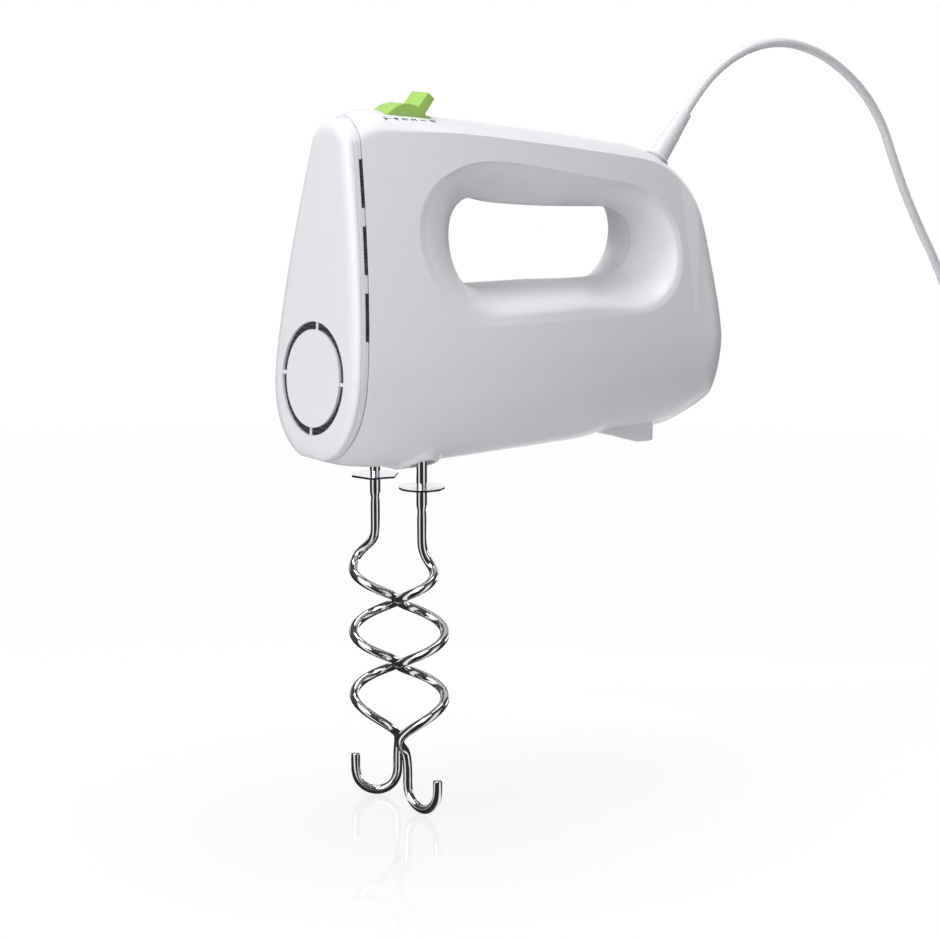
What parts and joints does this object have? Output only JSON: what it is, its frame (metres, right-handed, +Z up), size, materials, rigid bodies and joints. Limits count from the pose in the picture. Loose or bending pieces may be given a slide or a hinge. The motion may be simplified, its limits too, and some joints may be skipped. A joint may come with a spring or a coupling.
{
  "type": "hand mixer",
  "caption": "Upright white hand mixer with a closed grip, a tabbed green speed switch and two removable spiral dough hooks",
  "frame": {"origin": "middle of the hand grip, on the mixer's middle plane, above the hand opening", "axes": "+X to the rear, where the cord leaves; +Y to the mixer's right side; +Z up, with the dough hooks hanging along -Z"},
  "size_m": [0.5036, 0.1131, 0.3447],
  "materials": {
    "white_shell": "satin white moulding",
    "green_switch": "satin light green moulding",
    "grey_filter": "dark mesh",
    "natural_plastic": "unpainted engineering plastic",
    "polished_steel": "polished",
    "steel": "ground or laminated",
    "copper": "enamelled copper",
    "brass": "plain brass or sintered bronze",
    "carbon": "dark component bodies",
    "board": "circuit board laminate",
    "cord_sheath": "smooth white flexible plastic"
  },
  "bodies": {
    "body": {"housing_right": "white_shell", "housing_left": "white_shell", "front_cover": "white_shell", "vent_frame": "white_shell", "terminal_block": "white_shell", "strain_relief": "white_shell", "slot_filter": "grey_filter", "rear_bracket": "natural_plastic", "gear_frame": "natural_plastic", "stator_stack": "steel", "field_coil_right": "copper", "field_coil_left": "copper", "lower_bush_right": "brass", "lower_bush_left": "brass", "upper_bush_right": "brass", "upper_bush_left": "brass", "front_bearing": "brass", "rear_bearing": "brass", "brush_holder_right": "brass", "brush_holder_left": "brass", "plug_pin_left": "brass", "plug_pin_right": "brass", "carbon_brush_right": "carbon", "carbon_brush_left": "carbon", "film_capacitor": "carbon", "choke": "carbon", "power_switch_chip": "carbon", "control_board": "board", "cord": "cord_sheath", "cord_coil": "cord_sheath", "cord_tail": "cord_sheath", "cord_tie": "cord_sheath", "plug_body": "cord_sheath"},
    "eject": {"eject_slider": "natural_plastic", "switch_axle": "steel"},
    "switch": {"speed_switch": "green_switch"},
    "motor": {"motor_shaft": "steel", "fan": "grey_filter", "armature_stack": "steel", "armature_winding": "copper", "commutator": "copper"},
    "spindle_left": {"drive_spindle_left": "natural_plastic"},
    "spindle_right": {"drive_spindle_right": "natural_plastic"},
    "dough_hook_left": {"hook_left": "polished_steel", "hook_left_collar": "polished_steel"},
    "dough_hook_right": {"hook_right": "polished_steel", "hook_right_collar": "polished_steel"}
  },
  "joints": [
    {"name": "motor_spin", "type": "hinge", "parent": "body", "child": "motor", "pos_m": [-0.075, 0, -0.0863], "axis": [1, 0, 0], "continuous": true},
    {"name": "spindle_left_spin", "type": "hinge", "parent": "body", "child": "spindle_left", "pos_m": [-0.075, -0.019, -0.0863], "axis": [0, 0, 1], "continuous": true},
    {"name": "spindle_right_spin", "type": "hinge", "parent": "body", "child": "spindle_right", "pos_m": [-0.075, 0.019, -0.0863], "axis": [0, 0, 1], "continuous": true},
    {"name": "hook_left_draw", "type": "slide", "parent": "spindle_left", "child": "dough_hook_left", "axis": [0, 0, -1], "range_m": [0, 0.027]},
    {"name": "hook_right_draw", "type": "slide", "parent": "spindle_right", "child": "dough_hook_right", "axis": [0, 0, -1], "range_m": [0, 0.027]},
    {"name": "eject_press", "type": "slide", "parent": "body", "child": "eject", "axis": [0, 0, -1], "range_m": [0, 0.003], "stiffness_N_per_m": 500, "springref_m": -0.003},
    {"name": "speed_turn", "type": "hinge", "parent": "eject", "child": "switch", "pos_m": [-0.0743, 0, 0.0194], "axis": [0, -1, 0], "range_deg": [0, 70]}
  ],
  "couplings": [
    {"joint": "spindle_left_spin", "follows": "motor_spin", "ratio": 0.071429},
    {"joint": "spindle_right_spin", "follows": "motor_spin", "ratio": -0.071429}
  ]
}
